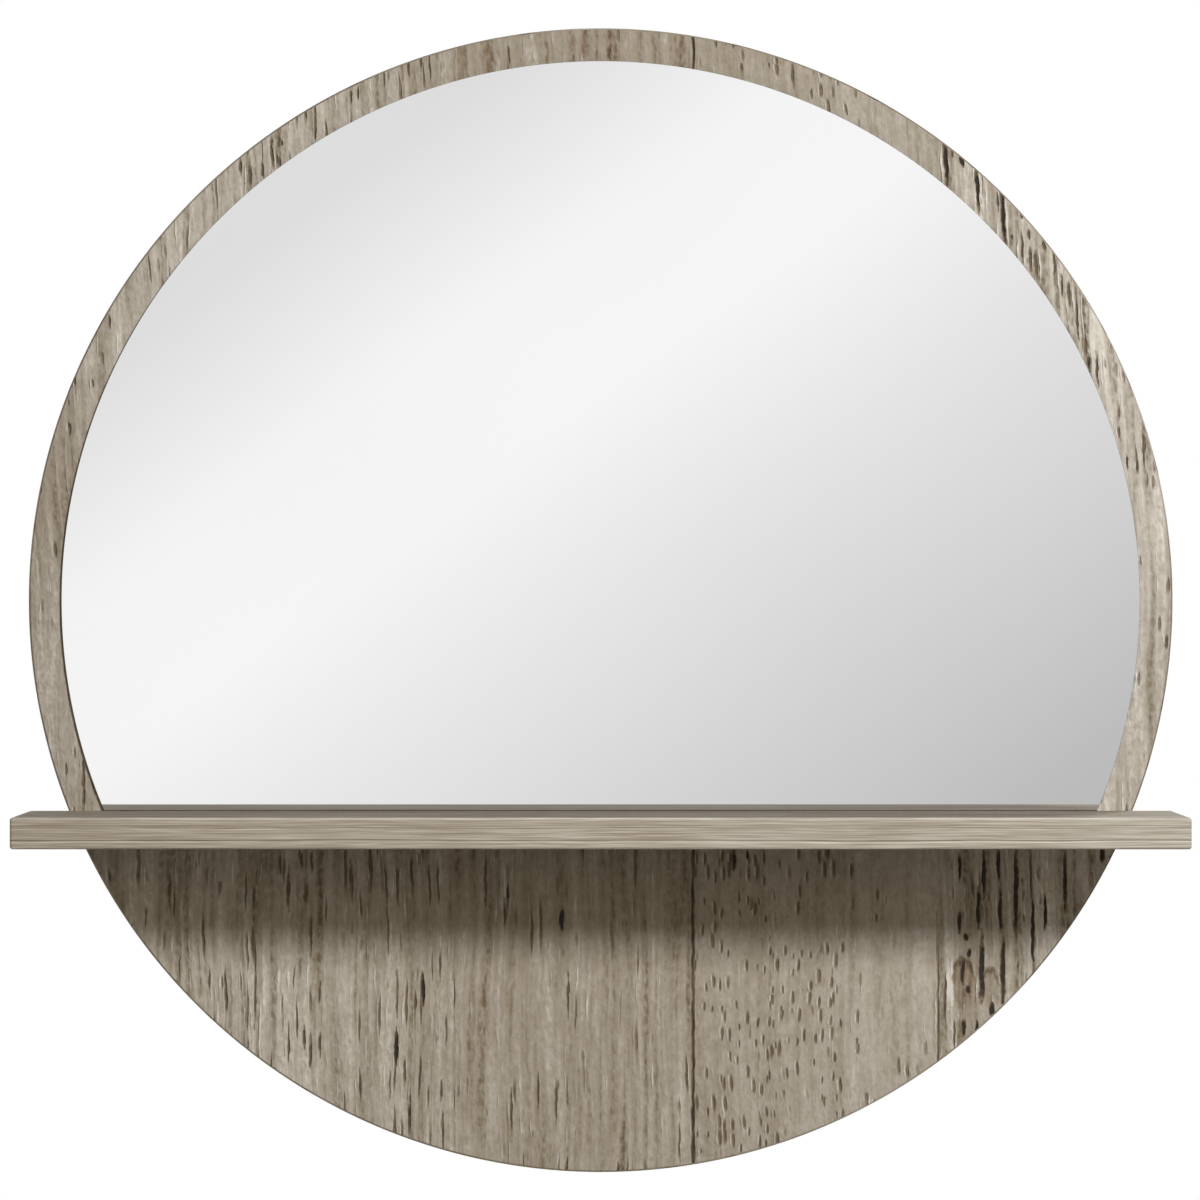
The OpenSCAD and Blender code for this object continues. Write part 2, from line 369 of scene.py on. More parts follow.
# Pale slivers that stand up beside the cracks, in the same four numbers
SLIVER_TONE = 0.81
SLIVERS = (
    (185.4, -205.0, 1.5, 10.5),
    (187.4, -210.0, 1.2, 7.5),
    (187.3, -196.0, 0.9, 5.0),
    (178.8, -222.0, 0.5, 22.0),
    (188.8, -150.0, 0.6, 16.0),
    (200.4, -206.0, 0.6, 7.0),
    (232.6, -176.0, 0.6, 18.0),
    (-181.6, -229.0, 0.7, 15.5),
    (-107.0, -240.0, 0.5, 10.0),
    (-189.4, 226.0, 0.6, 8.0),
    (-173.8, 236.0, 0.5, 8.0),
    (182.0, 232.0, 0.6, 11.0),
    (203.0, 219.5, 0.6, 11.0),
    (216.3, 205.0, 0.6, 14.0),
    (222.5, 188.0, 0.6, 10.0),
    (256.9, 151.0, 0.6, 15.0),
    (266.7, 123.5, 0.6, 10.0),
    (234.2, 178.0, 0.7, 9.0),
    (243.6, 172.0, 0.6, 8.0),
    (252.0, 160.0, 0.6, 7.0),
    (261.5, 134.0, 0.6, 9.0),
)
# The darker wood round the knots, and the knots, in the same four numbers
HEARTWOOD = (203.0, -208.0, 30.0, 62.0)
HEARTWOOD_DEPTH = 0.07
KNOTS = ((193.0, -204.0, 6.8, 14.5), (207.2, -207.0, 5.9, 12.0))
# What a knot takes from the tone, from its middle (0) to its edge (1): its brown middle, and the
# dark arch over its upper half
KNOT_DEPTHS = (
    (0.0, 0.06, 0.0),
    (0.45, 0.10, 0.0),
    (0.66, 0.10, 0.05),
    (0.80, 0.08, 0.22),
    (0.92, 0.02, 0.12),
    (1.0, 0.0, 0.0),
)


def finish_mesh(name, shape):
    """Turns a bmesh into an object that is shaded smoothly, apart from its hard edges."""
    bmesh.ops.recalc_face_normals(shape, faces=shape.faces)
    for face in shape.faces:
        face.smooth = True
    for edge in shape.edges:
        edge.smooth = edge.calc_face_angle(math.pi) < math.radians(HARD_EDGE_DEGREES)
    mesh = bpy.data.meshes.new(name)
    shape.to_mesh(mesh)
    shape.free()
    made = bpy.data.objects.new(name, mesh)
    bpy.context.scene.collection.objects.link(made)
    flat_faces = made.modifiers.new("flat_faces", "WEIGHTED_NORMAL")
    flat_faces.keep_sharp = True
    return made


def skin(name, rings, closed=False):
    """Joins rings that have the same number of points. Open ends get a flat cap."""
    shape = bmesh.new()
    loops = [[shape.verts.new(point) for point in ring] for ring in rings]
    pairs = list(zip(loops, loops[1:]))
    if closed:
        pairs.append((loops[-1], loops[0]))
    else:
        shape.faces.new(loops[0])
        shape.faces.new(loops[-1])
    for near, far in pairs:
        for i in range(len(near)):
            shape.faces.new((near[i - 1], near[i], far[i], far[i - 1]))
    return finish_mesh(name, shape)


def circle(radius, y):
    """Points round the axis of the board."""
    turns = [2 * math.pi * i / ARC_STEPS for i in range(ARC_STEPS)]
    return [(radius * math.cos(a), y, radius * math.sin(a)) for a in turns]


def long_grain(tree, place, base, layers):
    """Tone of a wood print: the base, and noise of several sizes added to it.

    A layer is the size of its streaks along x, y and z in mm, and how far it moves the tone."""
    tone = base - sum(strength for _, strength in layers) / 2
    for size_mm, strength in layers:
        noise = speckle(tree, place, size_mm, detail=1.0)
        tone = add(tree, "Math", {0: noise, 1: strength, 2: tone}, operation="MULTIPLY_ADD")
    return tone


def over_sheet(tree, across, rows):
    """A ramp over the width of the sheet. A row is an x in mm and the three channels there."""
    return add(
        tree,
        "ValToRGB",
        {"Fac": across},
        stops=[((x + SHEET_HALF_MM) / (2 * SHEET_HALF_MM), (*channels, 1)) for x, *channels in rows],
    )


def drift_over_sheet(tree, across, rows):
    """What a drift adds to the tone. A row is an x in mm and what is added there.

    A ramp holds nothing below 0, so this one lies 0.5 too high, which is taken off again."""
    ramp = over_sheet(tree, across, [(x, 0.5 + more, 0.5 + more, 0.5 + more) for x, more in rows])
    return add(tree, "Math", {0: ramp.outputs["Color"], 1: 0.5}, operation="SUBTRACT")


def nearest_spot(tree, place, spots):
    """How far off the nearest upright ellipse is: 0 in its middle, 1 on its edge."""
    nearest = 9.0  # too far off to show
    for x, z, half_w, half_h in spots:
        shrunk = (1 / half_w, 0, 1 / half_h)
        middle = (-(x + UPPER_LEAN * max(z, 0)) / half_w, 0, -z / half_h)
        near = add(tree, "VectorMath", {0: place, 1: shrunk, 2: middle}, operation="MULTIPLY_ADD")
        reach = add(tree, "VectorMath", {0: near}, operation="LENGTH")
        nearest = add(tree, "Math", {0: nearest, 1: reach.outputs["Value"]}, operation="MINIMUM")
    return nearest


def print_wood(tree, shader, tone, emboss_mm):
    """Colours a wood print by its tone and presses the dark parts in, as the embossed plate does."""
    ink = add(
        tree,
        "ValToRGB",
        {"Fac": tone},
        stops=(
            (0.0, linear(CRACK_DARK)),
            (0.15, linear(CRACK_BROWN)),
            (0.37, linear(STREAK_BROWN)),
            (0.577, linear(PLANK_GREY)),
            (0.667, linear(PLANK_PALE)),
            (0.71, linear(STREAK_PALE)),
            (0.87, linear(FLECK_PALE)),
        ),
    )
    relief = add(tree, "Bump", {"Height": tone, "Strength": 1.0, "Distance": emboss_mm * MM})
    gloss = add(tree, "MapRange", {"Value": tone, "To Min": 0.8, "To Max": 0.52})
    tree.links.new(ink.outputs["Color"], shader.inputs["Base Color"])
    tree.links.new(relief.outputs["Normal"], shader.inputs["Normal"])
    tree.links.new(gloss.outputs[0], shader.inputs["Roughness"])


# Melamine decor, printed and embossed in register: matt weathered oak whose pale raised grain
# stands between darker streaks, with near-black open cracks.
plank_decor, tree, shader = new_material("MelaminePlankEmbossed", **WOOD_PRINT)
place = place_in_mm(tree)
wander = speckle(tree, place, (50.0, 50.0, 75.0), detail=0.0)
ripple = speckle(tree, place, (3.0, 3.0, 9.0), detail=1.0)
axes = add(tree, "SeparateXYZ", {0: place})
above = add(tree, "Math", {0: axes.outputs["Z"], 1: 0.0}, operation="MAXIMUM")
leaning_x = add(
    tree, "Math", {0: above, 1: UPPER_LEAN, 2: axes.outputs["X"]}, operation="MULTIPLY_ADD"
)
x = add(tree, "Math", {0: wander, 1: WANDER_MM, 2: leaning_x}, operation="MULTIPLY_ADD")
x = add(tree, "Math", {0: ripple, 1: RIPPLE_MM, 2: x}, operation="MULTIPLY_ADD")
x = add(tree, "Math", {0: x, 1: (WANDER_MM + RIPPLE_MM) / 2}, operation="SUBTRACT")
plank = 0.0
for seam_x, _, _, _ in PLANK_SEAMS:
    right_of = add(tree, "Math", {0: axes.outputs["X"], 1: seam_x}, operation="GREATER_THAN")
    plank = add(tree, "Math", {0: plank, 1: right_of}, operation="ADD")
own_print = add(tree, "Math", {0: plank, 1: OWN_PRINT_MM}, operation="MULTIPLY")
grain_place = add(tree, "CombineXYZ", {"X": x, "Y": own_print, "Z": axes.outputs["Z"]})

across = add(
    tree,
    "MapRange",
    {"Value": axes.outputs["X"], "From Min": -SHEET_HALF_MM, "From Max": SHEET_HALF_MM},
)
moods = over_sheet(tree, across, PLANK_MOODS)
moods.color_ramp.interpolation = "CONSTANT"
mood = add(tree, "SeparateColor", {"Color": moods.outputs["Color"]})

streaks = long_grain(
    tree,
    grain_place,
    0.0,
    (
        ((26.0, 1.0, 190.0), 0.32),
        ((9.0, 1.0, 150.0), 0.38),
        ((4.2, 1.0, 110.0), 0.46),
        ((2.2, 1.0, 50.0), 0.20),
    ),
)
# Each streak swells and fades along its length
beads = speckle(tree, grain_place, (2.4, 1.0, 4.6), detail=1.0)
beaded = add(
    tree,
    "MapRange",
    {"Value": beads, "From Min": 0.35, "From Max": 0.65, "To Min": 0.4, "To Max": 1.6},
)
streaks = add(tree, "Math", {0: streaks, 1: beaded}, operation="MULTIPLY")
# Pale streaks differ less from the plank's colour than dark ones do
pale_streaks = add(tree, "Math", {0: streaks, 1: 0.6}, operation="MULTIPLY")
streaks = add(tree, "Math", {0: streaks, 1: pale_streaks}, operation="MINIMUM")
mottle = long_grain(
    tree,
    grain_place,
    PLANK_TONE,
    (((6.0, 1.0, 11.0), 0.14), ((2.6, 1.0, 5.0), 0.13), ((1.4, 1.0, 2.2), 0.09)),
)
tone = add(tree, "Math", {0: streaks, 1: mood.outputs["Red"], 2: mottle}, operation="MULTIPLY_ADD")
print_and_light_drift = drift_over_sheet(tree, across, PLANK_PRINT_AND_LIGHT_DRIFT)
tone = add(tree, "Math", {0: tone, 1: print_and_light_drift}, operation="ADD")
upper_print_and_light_drift = drift_over_sheet(tree, across, UPPER_PRINT_AND_LIGHT_DRIFT)
upper = add(
    tree,
    "MapRange",
    {"Value": axes.outputs["Z"], "From Min": UPPER_FROM_Z[0], "From Max": UPPER_FROM_Z[1]},
)
tone = add(tree, "Math", {0: upper, 1: upper_print_and_light_drift, 2: tone}, operation="MULTIPLY_ADD")
off_heart = nearest_spot(tree, place, [HEARTWOOD])
heart = add(
    tree,
    "MapRange",
    {"Value": off_heart, "From Min": 0.5, "To Min": HEARTWOOD_DEPTH, "To Max": 0.0},
)
tone = add(tree, "Math", {0: tone, 1: heart}, operation="SUBTRACT")

# The dashes are upright, at most one in each cell. Besides the moods, random clusters say how many
# of the cells hold one.
cluster = speckle(tree, grain_place, (20.0, 1.0, 60.0))
crowd = add(
    tree,
    "MapRange",
    {"Value": cluster, "From Min": 0.35, "From Max": 0.65, "To Min": 0.25, "To Max": 1.5},
)
dash_x = add(tree, "Math", {0: x, 1: own_print}, operation="ADD")
dash_place = add(tree, "CombineXYZ", {"X": dash_x, "Y": axes.outputs["Z"]})
for cell_mm, half_mm, channel, share, depth, pale_print_and_highlight in DASHES:
    to_cells = (1 / cell_mm[0], 1 / cell_mm[1], 0.0)
    cell = add(tree, "VectorMath", {0: dash_place, 1: to_cells}, operation="MULTIPLY")
    nearest = add(tree, "TexVoronoi", {"Vector": cell, "Scale": 1.0}, voronoi_dimensions="2D")
    lot = add(tree, "SeparateColor", {"Color": nearest.outputs["Color"]})
    wanted = add(tree, "Math", {0: mood.outputs[channel], 1: share}, operation="MULTIPLY")
    wanted = add(tree, "Math", {0: wanted, 1: crowd}, operation="MULTIPLY")
    chosen = add(tree, "Math", {0: wanted, 1: lot.outputs["Red"]}, operation="SUBTRACT")
    chosen = add(tree, "MapRange", {"Value": chosen, "From Min": 0.0, "From Max": 0.15})
    size = add(tree, "Math", {0: lot.outputs["Green"], 1: 1.0, 2: 0.5}, operation="MULTIPLY_ADD")
    offset = add(tree, "VectorMath", {0: cell, 1: nearest.outputs["Position"]}, operation="SUBTRACT")
    to_halves = (cell_mm[0] / half_mm[0], cell_mm[1] / half_mm[1], 0.0)
    # The pale copy beside each dash is partly print and partly a painted highlight on the groove's left
    # wall.
    for shift, amount in ((0.0, -depth), (PALE_EDGE_AND_HIGHLIGHT_SHIFT, pale_print_and_highlight)):
        if not amount:
            continue
        reach = add(
            tree,
            "VectorMath",
            {0: offset, 1: to_halves, 2: (shift, 0.0, 0.0)},
            operation="MULTIPLY_ADD",
        )
        reach = add(tree, "VectorMath", {0: reach}, operation="LENGTH")
        reach = add(tree, "Math", {0: reach.outputs["Value"], 1: size}, operation="DIVIDE")
        mark = add(
            tree,
            "MapRange",
            {"Value": reach, "From Min": 0.55, "From Max": 1.15, "To Min": amount, "To Max": 0.0},
        )
        tone = add(tree, "Math", {0: mark, 1: chosen, 2: tone}, operation="MULTIPLY_ADD")

# The knots, with their outlines roughened
torn = speckle(tree, place, (1.9, 1.9, 3.2), detail=1.0)
for x, z, half_w, half_h in KNOTS:
    reach = nearest_spot(tree, place, [(x, z, half_w, half_h)])
    reach = add(tree, "Math", {0: torn, 1: 0.4, 2: reach}, operation="MULTIPLY_ADD")
    reach = add(tree, "Math", {0: reach, 1: 0.2}, operation="SUBTRACT")
    depths = add(
        tree,
        "ValToRGB",
        {"Fac": reach},
        stops=[(at, (middle, arch, 0, 1)) for at, middle, arch in KNOT_DEPTHS],
    )
    depth = add(tree, "SeparateColor", {"Color": depths.outputs["Color"]})
    top_half = add(
        tree,
        "MapRange",
        {"Value": axes.outputs["Z"], "From Min": z - 0.1 * half_h, "From Max": z + 0.5 * half_h},
    )
    arched = add(
        tree,
        "Math",
        {0: depth.outputs["Green"], 1: top_half, 2: depth.outputs["Red"]},
        operation="MULTIPLY_ADD",
    )
    tone = add(tree, "Math", {0: tone, 1: arched}, operation="SUBTRACT")

# The slivers and largest cracks waver and have torn ends. Each is solid out to a share of its size
# and fades from there.
rough_x = add(tree, "Math", {0: ripple, 1: WAVER_MM, 2: leaning_x}, operation="MULTIPLY_ADD")
rough_x = add(tree, "Math", {0: rough_x, 1: WAVER_MM / 2}, operation="SUBTRACT")
drawn_place = add(tree, "CombineXYZ", {"X": rough_x, "Z": axes.outputs["Z"]})
for spots, spot_tone, solid_to in (
    (SLIVERS, SLIVER_TONE, 1.0),
    (BROWN_CRACKS, BROWN_CRACK_TONE, 0.85),
    (BLACK_CRACKS, BLACK_CRACK_TONE, 1.05),
):
    reach = nearest_spot(tree, drawn_place, spots)
    reach = add(tree, "Math", {0: torn, 1: 0.9, 2: reach}, operation="MULTIPLY_ADD")
    covered = add(
        tree,
        "MapRange",
        {"Value": reach, "From Min": solid_to, "From Max": solid_to + 0.7, "To Min": 1.0, "To Max": 0.0},
    )
    tone = add(tree, "Mix", {0: covered, 2: tone, 3: spot_tone}, data_type="FLOAT")

# The seams between the planks: each a dark wavy line that swells and fades, pale along its left;
# that pale side is partly print and partly a painted highlight on the groove's wall lit from the right
open_here = speckle(tree, grain_place, (40.0, 1.0, 30.0), detail=1.0)
seam_open = add(
    tree,
    "MapRange",
    {"Value": open_here, "From Min": 0.36, "From Max": 0.56, "To Min": 0.4},
)
swell = speckle(tree, grain_place, (40.0, 1.0, 9.0), detail=1.0)
for seam_x, gap_above, gap_below, pale_print_and_highlight in PLANK_SEAMS:
    gap = add(
        tree,
        "MapRange",
        {
            "Value": axes.outputs["Z"],
            "From Min": SEAM_CHANGE_Z[1],
            "From Max": SEAM_CHANGE_Z[0],
            "To Min": gap_below,
            "To Max": gap_above,
        },
    )
    gap = add(tree, "Math", {0: gap, 1: seam_open}, operation="MULTIPLY")
    past = add(tree, "Math", {0: ripple, 1: WAVER_MM, 2: axes.outputs["X"]}, operation="MULTIPLY_ADD")
    past = add(tree, "Math", {0: past, 1: seam_x + WAVER_MM / 2}, operation="SUBTRACT")
    for side_mm, line_tone, strength in (
        (SEAM_EDGE_MM, SEAM_EDGE_TONE, pale_print_and_highlight),
        (0.0, SEAM_TONE, 1.0),
    ):
        off_line = add(tree, "Math", {0: past, 1: side_mm}, operation="SUBTRACT")
        off_line = add(tree, "Math", {0: off_line}, operation="ABSOLUTE")
        off_line = add(
            tree, "Math", {0: swell, 1: -SEAM_SWELL_MM, 2: off_line}, operation="MULTIPLY_ADD"
        )
        line = add(
            tree,
            "MapRange",
            {"Value": off_line, "From Min": -0.7, "From Max": 0.3, "To Min": strength, "To Max": 0.0},
        )
        line = add(tree, "Math", {0: line, 1: gap}, operation="MULTIPLY")
        tone = add(tree, "Mix", {0: line, 2: tone, 3: line_tone}, data_type="FLOAT")
print_wood(tree, shader, tone, emboss_mm=3.0)

face = skin(
    "face_laminate_sheet",
    [
        circle(CORE_R - FACE_ARRIS, FACE_Y),
        circle(CORE_R, FACE_Y + FACE_ARRIS),
        circle(CORE_R, FACE_Y + FACE_LAMINATE_T),
    ],
)
face.data.materials.append(plank_decor)
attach(face, "root")
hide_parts("face_laminate")


# ---------------------------------------------------------------------------------------------
# Edge band: a thin strip glued round the board, printed with grain that runs along it. Its front
# edge is bevelled with a scraper, and its two ends meet at the lowest point of the board.

DISC_R = 305.0 * MM
BEVEL_EASE = 0.12 * MM  # where the bevel turns into the round side
BAND_BACK_EASE = 0.25 * MM
BUTT_JOINT_MM = 0.25
BUTT_JOINT_TONE = 0.2

# Melamine band, printed: the plank print's colours with streaks that run round the board.
rim_print, tree, shader = new_material("MelamineBandPrinted", **WOOD_PRINT)
place = place_in_mm(tree)
axes = add(tree, "SeparateXYZ", {0: place})
turn = add(tree, "Math", {0: axes.outputs["X"], 1: axes.outputs["Z"]}, operation="ARCTAN2")
along = add(tree, "Math", {0: turn, 1: DISC_R / MM}, operation="MULTIPLY")
strip_place = add(tree, "CombineXYZ", {"X": along, "Y": axes.outputs["Y"]})
tone = long_grain(
    tree,
    strip_place,
    0.54,
    (
        ((300.0, 9.0, 1.0), 0.30),
        ((120.0, 2.6, 1.0), 0.50),
        ((45.0, 1.1, 1.0), 0.35),
    ),
)
pores = speckle(tree, strip_place, (16.0, 1.0, 1.0), detail=0.0)
pored = add(tree, "MapRange", {"Value": pores, "From Min": 0.66, "From Max": 0.76, "To Max": 0.28})
tone = add(tree, "Math", {0: tone, 1: pored}, operation="SUBTRACT")
off_joint = add(tree, "Math", {0: axes.outputs["X"]}, operation="ABSOLUTE")
at_joint = add(tree, "Math", {0: off_joint, 1: BUTT_JOINT_MM}, operation="LESS_THAN")
below = add(tree, "Math", {0: axes.outputs["Z"], 1: 0.0}, operation="LESS_THAN")
joint = add(tree, "Math", {0: at_joint, 1: below}, operation="MULTIPLY")
tone = add(tree, "Mix", {0: joint, 2: tone, 3: BUTT_JOINT_TONE}, data_type="FLOAT")
print_wood(tree, shader, tone, emboss_mm=0.3)

bevel_end_y = FACE_Y + FACE_ARRIS + DISC_R - CORE_R
band_profile = (
    (CORE_R, FACE_Y + FACE_ARRIS),
    (DISC_R - BEVEL_EASE, bevel_end_y - BEVEL_EASE),
    (DISC_R, bevel_end_y + BEVEL_EASE),
    (DISC_R, -BAND_BACK_EASE),
    (DISC_R - BAND_BACK_EASE, 0.0),
    (CORE_R, 0.0),
)
band = skin("rim_band", [circle(r, y) for r, y in band_profile], closed=True)
band.data.materials.append(rim_print)
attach(band, "root")
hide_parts("rim_edge_band")


# ---------------------------------------------------------------------------------------------
# Mirror: 2 mm glass, cut round and then straight along the shelf, silvered and painted behind,
# with its edge ground flat. Five strips of foam tape hold it on the face of the board.

GLASS_R = 287.3 * MM
GLASS_FOOT_Z = -112.0 * MM
GLASS_FRONT_Y = -19.85 * MM
GLASS_BACK_Y = -17.85 * MM
GLASS_ARRIS = 0.12 * MM
SILVER = "#f8f8f8"
SILVER_PALE = "#fafafa"
GLASS_EDGE_AND_SHADE = "#45453e"
GLASS_EDGE_AND_SHADE_PALE = "#5f6058"
BACKING_GREY = "#6e7274"
BACKING_PALE = "#7b7f81"
TAPE_WHITE = "#e8e5dc"
TAPE_SHADE = "#cfcbc0"
FACES_ALONG_Y = 0.9  # a face is the back or the front if its normal is this far along y

# Float glass, silvered: a sharp, nearly neutral reflection. The glass is so thin and clear that
# the silver behind it is drawn as the surface itself.
silvered, tree, shader = new_material("GlassSilvered", **{"Metallic": 1.0, "Roughness": 0.0})
shine = speckle(tree, place_in_mm(tree), (180.0, 180.0, 180.0), detail=0.0)
tint = add(
    tree,
    "ValToRGB",
    {"Fac": shine},
    stops=((0.3, linear(SILVER)), (0.7, linear(SILVER_PALE))),
)
tree.links.new(tint.outputs["Color"], shader.inputs["Base Color"])

# Float glass, ground: a dull grey-green line with the fine marks of the wheel, painted darker than a
# ground edge is, partly as painted shade that deepens the dark line of the glass's shadow round it.
ground, tree, shader = new_material("GlassGround", **{"Roughness": 0.4, "IOR": 1.52})
wheel = speckle(tree, place_in_mm(tree), (0.8, 0.5, 0.8))
edge_and_shade_tint = add(
    tree,
    "ValToRGB",
    {"Fac": wheel},
    stops=((0.3, linear(GLASS_EDGE_AND_SHADE)), (0.7, linear(GLASS_EDGE_AND_SHADE_PALE))),
)
wheel_marks = add(tree, "Bump", {"Height": wheel, "Strength": 0.4, "Distance": 0.1 * MM})
tree.links.new(edge_and_shade_tint.outputs["Color"], shader.inputs["Base Color"])
tree.links.new(wheel_marks.outputs["Normal"], shader.inputs["Normal"])

# Mirror backing paint, rolled: an even matt grey over the copper and silver.
backing, tree, shader = new_material("AlkydPaintRolled", **{"Roughness": 0.6, "IOR": 1.5})
rolled = speckle(tree, place_in_mm(tree), (2.0, 2.0, 2.0))
paint_grey = add(
    tree,
    "ValToRGB",
    {"Fac": rolled},
    stops=((0.3, linear(BACKING_GREY)), (0.7, linear(BACKING_PALE))),
)
tree.links.new(paint_grey.outputs["Color"], shader.inputs["Base Color"])


def pane_outline(radius, foot_z, y):
    """Points round the glass, from the right end of its straight foot over the top to the left."""
    start = math.asin(foot_z / radius)
    sweep = math.pi - 2 * start
    turns = [start + sweep * i / (ARC_STEPS - 1) for i in range(ARC_STEPS)]
    return [(radius * math.cos(a), y, radius * math.sin(a)) for a in turns]


pane = skin(
    "mirror_glass",
    [
        pane_outline(GLASS_R - GLASS_ARRIS, GLASS_FOOT_Z + GLASS_ARRIS, GLASS_FRONT_Y),
        pane_outline(GLASS_R, GLASS_FOOT_Z, GLASS_FRONT_Y + GLASS_ARRIS),
        pane_outline(GLASS_R, GLASS_FOOT_Z, GLASS_BACK_Y),
    ],
)
for finish in (silvered, ground, backing):
    pane.data.materials.append(finish)
for face_of_glass in pane.data.polygons:
    if face_of_glass.normal.y > FACES_ALONG_Y:
        face_of_glass.material_index = 2
    elif face_of_glass.normal.y > -FACES_ALONG_Y:
        face_of_glass.material_index = 1
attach(pane, "root")
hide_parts("mirror_pane")

# Acrylic foam tape, cut: off-white, soft and dull, with open cells.
foam, tree, shader = new_material("AcrylicFoamCut", **{"Roughness": 0.85, "IOR": 1.45})
cells = speckle(tree, place_in_mm(tree), (0.8, 0.8, 0.8))
foam_white = add(
    tree,
    "ValToRGB",
    {"Fac": cells},
    stops=((0.3, linear(TAPE_SHADE)), (0.6, linear(TAPE_WHITE))),
)
tree.links.new(foam_white.outputs["Color"], shader.inputs["Base Color"])
dress(["mirror_tape"], foam)


# ---------------------------------------------------------------------------------------------
# Shelf: a 16.4 mm board in weathered foil, with a 2 mm band on its front and on both ends. The
# bands' outer edges are rounded over by a router, and each joint shows as a hairline.

SHELF_HALF_W = 305.0 * MM
SHELF_FRONT_Y = -119.6 * MM
SHELF_BACK_Y = -17.6 * MM
SHELF_TOP_Z = -112.2 * MM
SHELF_BOTTOM_Z = -128.6 * MM
SHELF_BAND_T = 2.0 * MM
SHELF_EDGE_R = 1.5 * MM
SHELF_EDGE_STEPS = 6
JOINT_ARRIS = 0.15 * MM
# A painted highlight along the top edge, where the key light catches the rounded edge: where it starts
# and where it is palest, in mm below the shelf's top
PAINTED_HIGHLIGHT_EDGE = (1.4, 0.6)
PAINTED_HIGHLIGHT_PALER = 0.12
# Painted light: the shelf's front is paler at its right end and darker at its left, as the key light from
# the right falls off across it.
BAND_PAINTED_LIGHT_DRIFT = 0.025  # how much paler the shelf's front is at its right end, and darker at its left
# Lines of the front's grain: mm below the shelf's top, half the width in mm, and the change of tone
BAND_LINES = (
    (4.2, 0.35, -0.11),
    (5.3, 0.35, -0.15),
    (8.2, 0.35, -0.06),
    (11.7, 0.4, -0.19),
    (12.7, 0.5, 0.09),
    (16.4, 0.7, -0.10),
)

# A side is the axis that it faces along and the sign of its direction
LEFT, RIGHT, FRONT, BACK = (0, -1), (0, 1), (1, -1), (1, 1)


def bar(name, low, high, joined):
    """A bar between two corners. Its joined sides have a fine arris, and its other edges are round."""
    shape = bmesh.new()
    bmesh.ops.create_cube(shape, size=1.0)
    for vert in shape.verts:
        for axis in range(3):
            vert.co[axis] = high[axis] if vert.co[axis] > 0 else low[axis]

    def touches(edge, side):
        """Whether an edge lies in the plane of a side."""
        axis, sign = side
        level = high[axis] if sign > 0 else low[axis]
        return all(abs(vert.co[axis] - level) < 1e-7 for vert in edge.verts)

    free = [edge for edge in shape.edges if not any(touches(edge, side) for side in joined)]
    if free:
        bmesh.ops.bevel(
            shape,
            geom=free,
            offset=SHELF_EDGE_R,
            segments=SHELF_EDGE_STEPS,
            profile=0.5,
            affect="EDGES",
        )
    for side in joined:
        rim = [
            edge
            for edge in shape.edges
            if touches(edge, side) and edge.calc_face_angle(0) > math.radians(45)
        ]
        bmesh.ops.bevel(shape, geom=rim, offset=JOINT_ARRIS, segments=1, profile=0.5, affect="EDGES")
    return finish_mesh(name, shape)


# Melamine foil, printed: the planks' colours with grain that runs along the shelf.
foil, tree, shader = new_material("MelamineFoilPrinted", **WOOD_PRINT)
place = place_in_mm(tree)
tone = long_grain(
    tree,
    place,
    0.555,
    (
        ((260.0, 30.0, 30.0), 0.20),
        ((170.0, 8.0, 8.0), 0.26),
        ((90.0, 2.8, 2.8), 0.30),
        ((30.0, 1.2, 1.2), 0.18),
    ),
)
pores = speckle(tree, place, (22.0, 1.6, 1.6), detail=0.0)
pored = add(tree, "MapRange", {"Value": pores, "From Min": 0.68, "From Max": 0.78, "To Max": 0.18})
tone = add(tree, "Math", {0: tone, 1: pored}, operation="SUBTRACT")
print_wood(tree, shader, tone, emboss_mm=0.35)

# Melamine band, moulded: a paler, smoother strip with a few long wavy lines, and a painted highlight
# along its top edge.
edging, tree, shader = new_material("MelamineEdgingMoulded", **WOOD_PRINT)
place = place_in_mm(tree)
axes = add(tree, "SeparateXYZ", {0: place})
long_wave = speckle(tree, place, (85.0, 40.0, 40.0), detail=1.0)
level = add(tree, "Math", {0: long_wave, 1: 1.6, 2: axes.outputs["Z"]}, operation="MULTIPLY_ADD")
level = add(tree, "Math", {0: level, 1: 0.8}, operation="SUBTRACT")
wavy = add(tree, "CombineXYZ", {"X": axes.outputs["X"], "Y": axes.outputs["Y"], "Z": level})
tone = long_grain(
    tree,
    wavy,
    0.622,
    (
        ((320.0, 60.0, 7.0), 0.07),
        ((170.0, 9.0, 2.2), 0.07),
        ((60.0, 3.0, 0.75), 0.30),
        ((24.0, 1.5, 0.5), 0.34),
    ),
)
print_and_light_drift = add(
    tree,
    "MapRange",
    {
        "Value": axes.outputs["X"],
        "From Min": -SHELF_HALF_W / MM,
        "From Max": SHELF_HALF_W / MM,
        "To Min": -BAND_PAINTED_LIGHT_DRIFT,
        "To Max": BAND_PAINTED_LIGHT_DRIFT,
    },
)
tone = add(tree, "Math", {0: tone, 1: print_and_light_drift}, operation="ADD")
